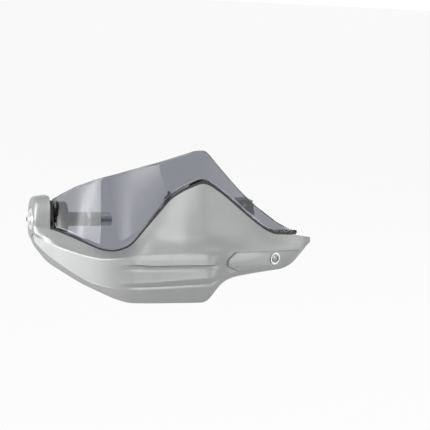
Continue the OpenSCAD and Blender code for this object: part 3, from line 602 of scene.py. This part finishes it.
def web(x):
    """A stiffening web across the inside of the front, rooted in the wall."""
    rows = shell_rows(x)
    root = WALL - WEB_ROOT
    skin = []
    for j in range(SHOULDER_ROW - BROW_N, ROWS - TURN_N, WEB_SKIP):
        d = unit(rows[j + 1] - rows[j - 1])
        skin.append((rows[j][1] - d[2] * root, rows[j][2] + d[1] * root))
    toe = rows[-1]
    back = eased(FRONT_Y, x, PLAN_EASE) + WALL + WEB_H
    outline = skin + [(toe[1] - WEB_TOE, toe[2] + root), (toe[1] - WEB_TOE, toe[2] + WEB_H),
                      (back, rows[WEB_LOW_ROW][2] + WEB_H), (back, rows[SHOULDER_ROW][2] - WEB_H)]
    n = len(outline)
    points = [(x + side * WEB_T / 2, y, z) for side in (-1, 1) for y, z in outline]
    faces = [tuple(range(n)), tuple(range(2 * n - 1, n - 1, -1))]
    faces += [(k, n + k, n + (k + 1) % n, (k + 1) % n) for k in range(n)]
    return mesh_object("web", points, faces)


def make_shell():
    """The moulded shell with its pad, bosses and webs, and with its pocket and holes cut."""
    shell = moulded_body()
    arm, screws = on_arm(), on_screws()
    bosses = [rod("boss", place, BOSS_R, BOSS_FACE, BOSS_ROOT - WALL) for place in screws]
    bosses.append(rod("boss", arm, ARM_BOSS_R, ARM_BOSS_FACE, BOSS_ROOT - WALL))
    combine(shell, [arm_pad()] + bosses + [web(x) for x in WEB_XS], "UNION")
    cuts = [rod("cut", on_bar(LUG_BACK + LUG_END_T), POCKET_R, 0, POCKET_CUT),
            rod("cut", on_bar(LUG_BACK - OVER), BOLT_HOLE_R, 0, LUG_END_T + 2 * OVER),
            rod("cut", on_bar(LUG_BACK - OVER), RECESS_R, 0, OVER + RECESS_D),
            rod("cut", arm, ARM_HOLE_R, ARM_BOSS_FACE - OVER, PAD_H + OVER)]
    cuts += [rod("cut", place, INSERT_HOLE_R, BOSS_FACE - OVER, BOSS_FACE + INSERT_HOLE_L)
             for place in screws]
    combine(shell, cuts, "DIFFERENCE")
    smooth(shell, angle=32)
    return shell


# The deflector and its rubber trims.

def screen_top(x):
    """The deflector's upper edge at x."""
    return point(x, TOP_Y, TOP_Z, TOP_EASE)


def rim_up(x):
    """The direction in which the shell's wall ends at the rim."""
    rows = shell_rows(x)
    return unit(rows[0] - rows[1])


def screen_fold(x):
    """The corner of the deflector's fold, above the rim."""
    return shell_rows(x)[0] + rim_up(x) * BEAD_H


def flange_foot(x):
    """Where the flange ends under the rim, which is nearer to it where the wall is low."""
    rim, mid = shell_rows(x)[0], point(x, MID_Y, MID_Z)
    return mix(rim, mid, min(FLANGE_DROP / np.linalg.norm(mid - rim), FLANGE_SHARE))


def screen_path(x):
    """The deflector's outer face at x, from its top over the fold and the heel to its foot."""
    n = wall_normal(x, SHELF_ROW)
    top, fold = screen_top(x), screen_fold(x)
    heel = fold - n * SHELF_DEPTH
    foot = flange_foot(x) - n * SHELF_DEPTH
    near = bend(top, fold, heel, FOLD_R, FOLD_N, FOLD_SHARE)
    far = bend(foot, heel, near[-1], HEEL_R, HEEL_N)[::-1]
    return (stretch(top, near[0], LEG_N) + near + far
            + stretch(far[-1], foot, FLANGE_N)[1:] + [foot])


def sheet(name, front, back):
    """A closed sheet between a front grid and a back grid of the same size."""
    n, m = len(front) - 1, len(front[0]) - 1
    size = (n + 1) * (m + 1)

    def f(i, j):
        return i * (m + 1) + j

    def b(i, j):
        return size + f(i, j)

    faces = grid_faces(f, range(n), range(m)) + grid_faces(b, range(n), range(m), True)
    faces += [(b(i, 0), b(i + 1, 0), f(i + 1, 0), f(i, 0)) for i in range(n)]
    faces += [(f(i, m), f(i + 1, m), b(i + 1, m), b(i, m)) for i in range(n)]
    faces += [(f(0, j), f(0, j + 1), b(0, j + 1), b(0, j)) for j in range(m)]
    faces += [(f(n, j + 1), f(n, j), b(n, j), b(n, j + 1)) for j in range(m)]
    points = [p for grid in (front, back) for column in grid for p in column]
    return mesh_object(name, points, faces)


def rounded_edges(obj, width, angle):
    """Rounds an object's crisp edges."""
    step = obj.modifiers.new("edges", "BEVEL")
    step.limit_method = "ANGLE"
    step.angle_limit = math.radians(angle)
    step.width = width * MM
    step.segments = 3
    apply_modifiers(obj)


def paint_edge_shade(screen):
    """Marks the faces of the deflector's upper edge for painted shade: a near-black tint there
    stands in for the dark seen when one looks along the acrylic.
    """
    stations = np.arange(SCREEN_X[0], SCREEN_X[1] + 1, COLUMN_STEP)
    tops = [screen_top(x) for x in stations]
    ups = [unit(top - screen_fold(x)) for top, x in zip(tops, stations)]
    painted_edge_faces = []
    for face in screen.data.polygons:
        at = np.array(face.center) / MM
        k = int(np.argmin(abs(stations - at[0])))
        painted_edge_faces.append(abs((at - tops[k]) @ ups[k]) < PAINTED_EDGE_BAND
                     and np.array(face.normal) @ ups[k] > PAINTED_EDGE_FACING)
    screen.data.attributes.new("edge", "FLOAT", "FACE").data.foreach_set("value", painted_edge_faces)


def make_screen():
    """The deflector, with the grommets' holes and seats cut in its flange."""
    corner = [(SCREEN_X[0] + SCREEN_CORNER * (1 - math.cos(a)), SCREEN_CORNER * (1 - math.sin(a)))
              for a in np.linspace(0, math.pi / 2, CORNER_N)]
    straight = np.arange(SCREEN_X[0] + SCREEN_CORNER + COLUMN_STEP, SCREEN_X[1] - 1, COLUMN_STEP)
    columns = corner + [(x, 0) for x in straight] + [(SCREEN_X[1], 0)]
    front = np.array([[p + np.array([0, y, 0]) for p in screen_path(x)] for x, y in columns])
    screen = sheet("screen", front, front - normals(front) * SCREEN_T)
    rounded_edges(screen, width=0.5, angle=60)
    screws = on_screws()
    start, end = FLANGE_BACK - SPOT_DEPTH, FLANGE_BACK + SCREEN_T + SPOT_DEPTH
    cuts = [rod("cut", place, GROMMET_HOLE_R, start, end) for place in screws]
    cuts += [rod("cut", place, GROMMET_SEAT_R, start, FLANGE_BACK) for place in screws]
    combine(screen, cuts, "DIFFERENCE")
    smooth(screen, angle=40)
    # The faces of the upper edge are marked for painted shade, a near-black tint.
    paint_edge_shade(screen)
    return screen


def loft(name, rings):
    """A closed bar through rings of the same number of points."""
    n, m = len(rings) - 1, len(rings[0])
    faces = [tuple(range(m)), tuple(range(n * m + m - 1, n * m - 1, -1))]
    faces += [(i * m + j, (i + 1) * m + j, (i + 1) * m + (j + 1) % m, i * m + (j + 1) % m)
              for i in range(n) for j in range(m)]
    return mesh_object(name, [p for ring in rings for p in ring], faces)


def bead_section(x):
    """The bead's section: it sits on the rim and fills the corner under the deflector's fold."""
    p, u, n = shell_rows(x)[0], rim_up(x), wall_normal(x, SHELF_ROW)
    leg = screen_top(x) - screen_fold(x)
    r = min(FOLD_R, BEND_SHARE * np.linalg.norm(leg), FOLD_SHARE * SHELF_DEPTH)
    slack = r * FOLD_SLACK * (unit(leg) - n)
    inner, outer, top = p + n * (GAP - WALL), p + n * BEAD_PROUD, BEAD_H - GAP
    return [inner + u * 2 * GAP, inner + u * top, p + slack + u * top,
            outer + u * (top + slack @ u), outer + u * GAP]


def make_bead():
    """The rubber bead between the rim and the deflector."""
    bead = loft("bead", [bead_section(x) for x in np.arange(*BEAD_X, COLUMN_STEP)])
    rounded_edges(bead, width=0.4, angle=30)
    smooth(bead, angle=60)
    return bead


def make_seal():
    """The rubber strip between the lug and the deflector's outboard edge, with fine lips."""
    path = screen_path(SCREEN_X[0])
    top, low = (mix(path[0], path[LEG_N], share) for share in SEAL_SPAN)
    x0, x1 = LUG_FRONT + 2 * GAP, SCREEN_X[0] - GAP
    steps = (SEAL_TAPER + [(t, 1) for t in np.linspace(*SEAL_FULL, SEAL_N)]
             + [(1 - t, size) for t, size in SEAL_TAPER[::-1]])
    rings = []
    for t, size in steps:
        p = mix(top, low, t) + np.array([0, SCREEN_CORNER - SEAL_R, 0])
        front = [np.array([mix(x0, x1, s), p[1] - h * size, p[2]]) for s, h in SEAL_LIPS]
        rings.append(front + [np.array([x, p[1] + SEAL_BACK * size, p[2]]) for x in (x1, x0)])
    seal = loft("seal", rings)
    rounded_edges(seal, width=0.15, angle=40)
    smooth(seal, angle=50)
    return seal


def make_clip():
    """The hooked clip on the deflector's shelf."""
    rim, up_rim = shell_rows(CLIP_X)[0], rim_up(CLIP_X)
    along = unit(shell_rows(CLIP_X + NORMAL_REACH)[0] - shell_rows(CLIP_X - NORMAL_REACH)[0])
    n = wall_normal(CLIP_X, 0)
    up = unit(np.cross(n, along))
    leg = screen_top(CLIP_X) - screen_fold(CLIP_X)
    lean = max(0, -(leg @ n) / (leg @ up_rim))
    lift = SCREEN_T + 2 * GAP
    back = ((lift + max(v for u, v in CLIP)) * lean + SCREEN_T * math.sqrt(1 + lean ** 2)
            + CLIP_STEP_BACK + CLIP_DEPTH)
    origin = rim + up_rim * BEAD_H + up * lift - n * back
    rings = [[origin + along * u + up * v + n * d for u, v in CLIP] for d in (0, CLIP_DEPTH)]
    clip = loft("clip", rings)
    rounded_edges(clip, width=0.3, angle=30)
    smooth(clip, angle=40)
    return clip


# Materials. Each is a Principled surface, with grain that is worked out from the place on the
# piece. The panel's has a tinted shadow besides,
# and painted shade: a near-black tint on the faces of its upper edge.

def material(name, colour, roughness, metallic=0.0, **sockets):
    """A Principled material, with its node tree and shader node."""
    mat = bpy.data.materials.new(name)
    mat.use_nodes = True
    shader = mat.node_tree.nodes["Principled BSDF"]
    shader.inputs["Base Color"].default_value = (*colour, 1)
    shader.inputs["Roughness"].default_value = roughness
    shader.inputs["Metallic"].default_value = metallic
    for key, value in sockets.items():
        shader.inputs[key.replace("_", " ")].default_value = value
    return mat, mat.node_tree, shader


def noise(tree, scale, detail):
    """Noise in the object's own space. The scale is in features a metre."""
    coords = tree.nodes.new("ShaderNodeTexCoord")
    texture = tree.nodes.new("ShaderNodeTexNoise")
    texture.inputs["Scale"].default_value = scale
    texture.inputs["Detail"].default_value = detail
    tree.links.new(coords.outputs["Object"], texture.inputs["Vector"])
    return texture.outputs["Fac"]


def ramp(tree, value, low, high, start, end):
    """Maps a value between start and end to a range or between two colours."""
    node = tree.nodes.new("ShaderNodeValToRGB")
    for k, (at, colour) in enumerate(((start, low), (end, high))):
        if not isinstance(colour, tuple):
            colour = (colour,) * 3
        node.color_ramp.elements[k].position = at
        node.color_ramp.elements[k].color = (*colour, 1)
    tree.links.new(value, node.inputs["Fac"])
    return node.outputs["Color"]


def vary(tree, shader, socket, grain, low, high, start=0.3, end=0.7):
    """Lets noise vary a socket of the shader. The grain is the noise's (scale, detail)."""
    tree.links.new(ramp(tree, noise(tree, *grain), low, high, start, end), shader.inputs[socket])


def bump(tree, shader, grain, distance, strength):
    """Adds noise to the shader's normal. The distance is in millimetres."""
    height = noise(tree, *grain)
    node = tree.nodes.new("ShaderNodeBump")
    node.inputs["Strength"].default_value = strength
    node.inputs["Distance"].default_value = distance * MM
    normal = shader.inputs["Normal"]
    if normal.is_linked:
        tree.links.new(normal.links[0].from_socket, node.inputs["Normal"])
    tree.links.new(height, node.inputs["Height"])
    tree.links.new(node.outputs["Normal"], normal)


def shell_plastic():
    """Satin moulded plastic with a fine spark-eroded grain and faint handling marks."""
    mat, tree, shader = material("shell plastic", (0.3, 0.302, 0.303), 0.38, 0.45)
    vary(tree, shader, "Base Color", (22, 3), (0.29, 0.293, 0.295), (0.305, 0.307, 0.307),
         0.35, 0.65)
    vary(tree, shader, "Roughness", (60, 5), 0.35, 0.41)
    bump(tree, shader, (1500, 3), 0.05, 0.5)
    bump(tree, shader, (2600, 2), 0.03, 0.5)
    return mat


SMOKE = (0.24, 0.248, 0.28)
# The second tint is painted shade: near-black on the deflector's upper edge, standing in for the
# dark seen when one looks along the acrylic.
PAINTED_EDGE_SHADE = (0.015, 0.015, 0.016)
SHADOW_SMOKE = (0.4, 0.41, 0.44)


def smoked_acrylic():
    """Clear smoked acrylic, with painted shade on its upper edge: a near-black tint there. Its
    shadow is a tint and not a solid dark.
    """
    mat, tree, shader = material("smoked acrylic", SMOKE, 0.0, Transmission_Weight=1.0, IOR=1.49)
    vary(tree, shader, "Roughness", (40, 4), 0.02, 0.045, 0.45, 0.75)
    bump(tree, shader, (18, 1), 0.05, 0.15)
    # The marked faces of the upper edge take a near-black base colour: painted shade.
    edge = tree.nodes.new("ShaderNodeAttribute")
    edge.attribute_name = "edge"
    smoke_and_edge_shade = ramp(tree, edge.outputs["Fac"], SMOKE, PAINTED_EDGE_SHADE, 0, 1)
    tree.links.new(smoke_and_edge_shade, shader.inputs["Base Color"])
    path = tree.nodes.new("ShaderNodeLightPath")
    clear = tree.nodes.new("ShaderNodeBsdfTransparent")
    clear.inputs["Color"].default_value = (*SHADOW_SMOKE, 1)
    blend = tree.nodes.new("ShaderNodeMixShader")
    out = tree.nodes["Material Output"]
    tree.links.new(path.outputs["Is Shadow Ray"], blend.inputs["Fac"])
    tree.links.new(shader.outputs["BSDF"], blend.inputs[1])
    tree.links.new(clear.outputs["BSDF"], blend.inputs[2])
    tree.links.new(blend.outputs["Shader"], out.inputs["Surface"])
    return mat


def black_rubber():
    """Matt black rubber with a dusty bloom."""
    mat, tree, shader = material("black rubber", (0.012, 0.011, 0.011), 0.5)
    vary(tree, shader, "Base Color", (300, 4), (0.008, 0.007, 0.007), (0.02, 0.018, 0.017))
    vary(tree, shader, "Roughness", (180, 4), 0.4, 0.62)
    bump(tree, shader, (2200, 3), 0.04, 0.4)
    return mat


def black_plastic():
    """Glossy black plastic with faint wear."""
    mat, tree, shader = material("black plastic", (0.01, 0.01, 0.011), 0.25)
    vary(tree, shader, "Roughness", (240, 4), 0.18, 0.36)
    bump(tree, shader, (1800, 2), 0.02, 0.3)
    return mat


def bare_metal(name, colour, low, high, distance):
    """Bare or plated metal, whose roughness varies between two levels."""
    mat, tree, shader = material(name, colour, (low + high) / 2, 1.0)
    vary(tree, shader, "Roughness", (260, 5), low, high)
    bump(tree, shader, (1400, 3), distance, 0.4)
    return mat


def painted_metal():
    """Black powder coat with its orange peel."""
    mat, tree, shader = material("black paint", (0.016, 0.016, 0.017), 0.38)
    vary(tree, shader, "Roughness", (150, 4), 0.32, 0.5)
    bump(tree, shader, (700, 3), 0.08, 0.35)
    return mat


FINISHES = {
    "shell": shell_plastic(),
    "smoked_screen": smoked_acrylic(),
    "black_rubber": black_rubber(),
    "black_plastic": black_plastic(),
    "insert_brass": bare_metal("brass", (0.66, 0.46, 0.2), 0.22, 0.4, 0.02),
    "weight_steel": painted_metal(),
    "bright_steel": bare_metal("chrome", (0.78, 0.78, 0.8), 0.06, 0.14, 0.006),
    "zinc_steel": bare_metal("zinc", (0.6, 0.61, 0.63), 0.24, 0.42, 0.02),
    "dark_steel": bare_metal("dark zinc", (0.3, 0.3, 0.31), 0.26, 0.4, 0.02),
    "black_metal": painted_metal(),
}

for part in frame["record"]["subparts"]:
    node = nodes[part["node"]]
    node.data.materials.clear()
    node.data.materials.append(FINISHES[part["material_slot"]])


def dress(obj, name, slot, *stands_for):
    """Names a piece, finishes it and lets it ride in place of the solids that it stands for."""
    obj.name = name
    obj.data.materials.clear()
    obj.data.materials.append(FINISHES[slot])
    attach(obj, "root")
    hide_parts(*stands_for)


dress(make_shell(), "shell_skin", "shell", "guard_shell")
dress(make_screen(), "smoked_panel", "smoked_screen", "wind_deflector")
dress(make_bead(), "rim_rubber", "black_rubber", "rim_bead")
dress(make_seal(), "edge_rubber", "black_rubber", "side_seal")
dress(make_clip(), "hooked_clip", "black_plastic", "deflector_clip")


# Camera, floor and light.

# The camera's angles in degrees, its distance, and the focal length and width of its picture in
# pixels. The offset is where the origin lies in the view, right of its centre and above it, and the
# shift then moves the camera outboard.
AZIMUTH, ELEVATION, ROLL = map(math.radians, (18, 9, 3))
DISTANCE = 1600
FOCAL_PX = 1440
IMAGE_PX = 430
SENSOR_MM = 36
VIEW_OFFSET = (-195, -40 / 9)
FRAME_SHIFT = 30

# The floor's height and size in metres, and the share of plain white in it where it is seen
FLOOR_Z = -0.34
FLOOR_SIZE = 120
FLOOR_GLOW = 0.93
# The world's strength as a light. It is 1 where it is seen.
WORLD_LIGHT = 0.15

# The lamps stand round this point at this distance in metres, and their angles are in degrees.
BOX_TARGET = (0.08, -0.06, 0)
BOX_DISTANCE = 2
# Curved soft boxes as (name, [azimuth, radiance] along the box, elevations)
BANKS = [
    ("left bank", [[166, 2], [180, 2.4], [186, 3.2], [190, 4.3], [193, 6.2], [196, 8.2], [199, 9],
                   [202, 8.2], [206, 6.4], [214.5, 5]], (6, 38)),
    ("front bank", [[230, 0.6], [242, 1.3], [250, 1.7], [262, 2.3], [270, 3.4], [276, 4.6],
                    [288, 5.4]], (20, 44)),
]
# Plain soft boxes as (name, azimuths, elevations, radiance)
BOXES = [
    ("left low", (166, 203), (-9.5, 6), 7.2),
    ("front low", (268, 300), (-9.5, 7), 0.9),
    ("front high", (288, 302), (22, 40), 2.2),
    ("right low", (314, 340), (-9.5, 5), 3.2),
    ("right", (322, 347), (7, 22), 0.8),
    ("top", (240, 300), (60, 89), 2.2),
    ("behind", (15, 50), (22, 62), 3),
]


def camera_axes():
    """The camera's right and up directions and the direction that it looks in."""
    look = np.array([math.sin(AZIMUTH) * math.cos(ELEVATION),
                     math.cos(AZIMUTH) * math.cos(ELEVATION), -math.sin(ELEVATION)])
    right = np.array([math.cos(AZIMUTH), -math.sin(AZIMUTH), 0])
    up = np.cross(right, look)
    return (right * math.cos(ROLL) + up * math.sin(ROLL),
            up * math.cos(ROLL) - right * math.sin(ROLL), look)


def add_camera():
    """The camera, which looks from ahead, a little from outboard and from above."""
    right, up, look = camera_axes()
    eye = -(right * VIEW_OFFSET[0] + up * VIEW_OFFSET[1] + look * DISTANCE)
    eye[0] -= FRAME_SHIFT
    data = bpy.data.cameras.new("camera")
    data.sensor_width = SENSOR_MM
    data.lens = SENSOR_MM * FOCAL_PX / IMAGE_PX
    data.clip_end = FLOOR_SIZE
    camera = linked("camera", data)
    camera.matrix_world = Matrix.Translation(Vector(eye) * MM) @ Matrix(
        (Vector(right), Vector(up), Vector(-look))).transposed().to_4x4()
    bpy.context.scene.camera = camera


def towards(turn, rise):
    """The direction of a lamp, from its azimuth and elevation in radians."""
    return Vector((math.cos(turn) * math.cos(rise), math.sin(turn) * math.cos(rise),
                   math.sin(rise)))


def add_softbox(name, azimuths, elevations, radiance):
    """A flat soft box between two azimuths and two elevations."""
    turn, rise = (math.radians(sum(pair) / 2) for pair in (azimuths, elevations))
    half_turn, half_rise = (math.radians(high - low) / 2 for low, high in (azimuths, elevations))
    data = bpy.data.lights.new(name, "AREA")
    data.shape = "RECTANGLE"
    data.size = 2 * BOX_DISTANCE * math.tan(half_turn) * math.cos(rise)
    data.size_y = 2 * BOX_DISTANCE * math.tan(half_rise)
    data.energy = radiance * math.pi * data.size * data.size_y
    lamp = linked(name, data)
    lamp.location = Vector(BOX_TARGET) + towards(turn, rise) * BOX_DISTANCE
    lamp.rotation_euler = towards(turn, rise).to_track_quat("Z", "Y").to_euler()


def add_bank(name, levels, elevations):
    """A curved soft box, whose level changes evenly between the azimuths given."""
    points = [Vector(BOX_TARGET)
              + towards(math.radians(azimuth), math.radians(rise)) * BOX_DISTANCE
              for azimuth, _ in levels for rise in elevations]
    mesh = bpy.data.meshes.new(name)
    mesh.from_pydata(points, [], [(2 * i, 2 * i + 1, 2 * i + 3, 2 * i + 2)
                                  for i in range(len(levels) - 1)])
    level = mesh.attributes.new("level", "FLOAT", "POINT")
    level.data.foreach_set("value", [radiance for _, radiance in levels for _ in elevations])
    mat = bpy.data.materials.new(name)
    mat.use_nodes = True
    tree = mat.node_tree
    tree.nodes.remove(tree.nodes["Principled BSDF"])
    source = tree.nodes.new("ShaderNodeAttribute")
    source.attribute_name = "level"
    lamp = tree.nodes.new("ShaderNodeEmission")
    tree.links.new(source.outputs["Fac"], lamp.inputs["Strength"])
    tree.links.new(lamp.outputs[0], tree.nodes["Material Output"].inputs["Surface"])
    mesh.materials.append(mat)
    bank = linked(name, mesh)
    bank.visible_camera = bank.visible_shadow = False


def seen_switch(tree):
    """1 for rays that see the background: from the camera, a reflection or through glass."""
    path = tree.nodes.new("ShaderNodeLightPath")
    first = tree.nodes.new("ShaderNodeMath")
    second = tree.nodes.new("ShaderNodeMath")
    for node in (first, second):
        node.operation = "MAXIMUM"
    tree.links.new(path.outputs["Is Camera Ray"], first.inputs[0])
    tree.links.new(path.outputs["Is Glossy Ray"], first.inputs[1])
    tree.links.new(first.outputs[0], second.inputs[0])
    tree.links.new(path.outputs["Is Transmission Ray"], second.inputs[1])
    return second.outputs[0]


def add_world():
    """White where it is seen, and otherwise a weak light from all sides."""
    world = bpy.data.worlds.new("studio")
    world.use_nodes = True
    bpy.context.scene.world = world
    tree = world.node_tree
    seen = tree.nodes["Background"]
    seen.inputs["Color"].default_value = (1, 1, 1, 1)
    fill = tree.nodes.new("ShaderNodeBackground")
    fill.inputs["Color"].default_value = (1, 1, 1, 1)
    fill.inputs["Strength"].default_value = WORLD_LIGHT
    blend = tree.nodes.new("ShaderNodeMixShader")
    tree.links.new(seen_switch(tree), blend.inputs["Fac"])
    tree.links.new(fill.outputs[0], blend.inputs[1])
    tree.links.new(seen.outputs[0], blend.inputs[2])
    tree.links.new(blend.outputs[0], tree.nodes["World Output"].inputs["Surface"])


def add_floor():
    """A pale floor that is nearly white where it is seen, and keeps a soft shadow."""
    s = FLOOR_SIZE / 2
    mesh = bpy.data.meshes.new("floor")
    corners = [(-s, -s, FLOOR_Z), (s, -s, FLOOR_Z), (s, s, FLOOR_Z), (-s, s, FLOOR_Z)]
    mesh.from_pydata(corners, [], [(0, 1, 2, 3)])
    mat, tree, shader = material("floor", (0.85, 0.85, 0.85), 0.7)
    glow = tree.nodes.new("ShaderNodeEmission")
    blend = tree.nodes.new("ShaderNodeMixShader")
    switch = tree.nodes.new("ShaderNodeMath")
    switch.operation = "MULTIPLY"
    switch.inputs[1].default_value = FLOOR_GLOW
    tree.links.new(seen_switch(tree), switch.inputs[0])
    tree.links.new(switch.outputs[0], blend.inputs["Fac"])
    tree.links.new(shader.outputs["BSDF"], blend.inputs[1])
    tree.links.new(glow.outputs[0], blend.inputs[2])
    tree.links.new(blend.outputs[0], tree.nodes["Material Output"].inputs["Surface"])
    mesh.materials.append(mat)
    linked("floor", mesh)


add_camera()
add_world()
add_floor()
for bank in BANKS:
    add_bank(*bank)
for box in BOXES:
    add_softbox(*box)
bpy.context.scene.view_settings.view_transform = "Standard"
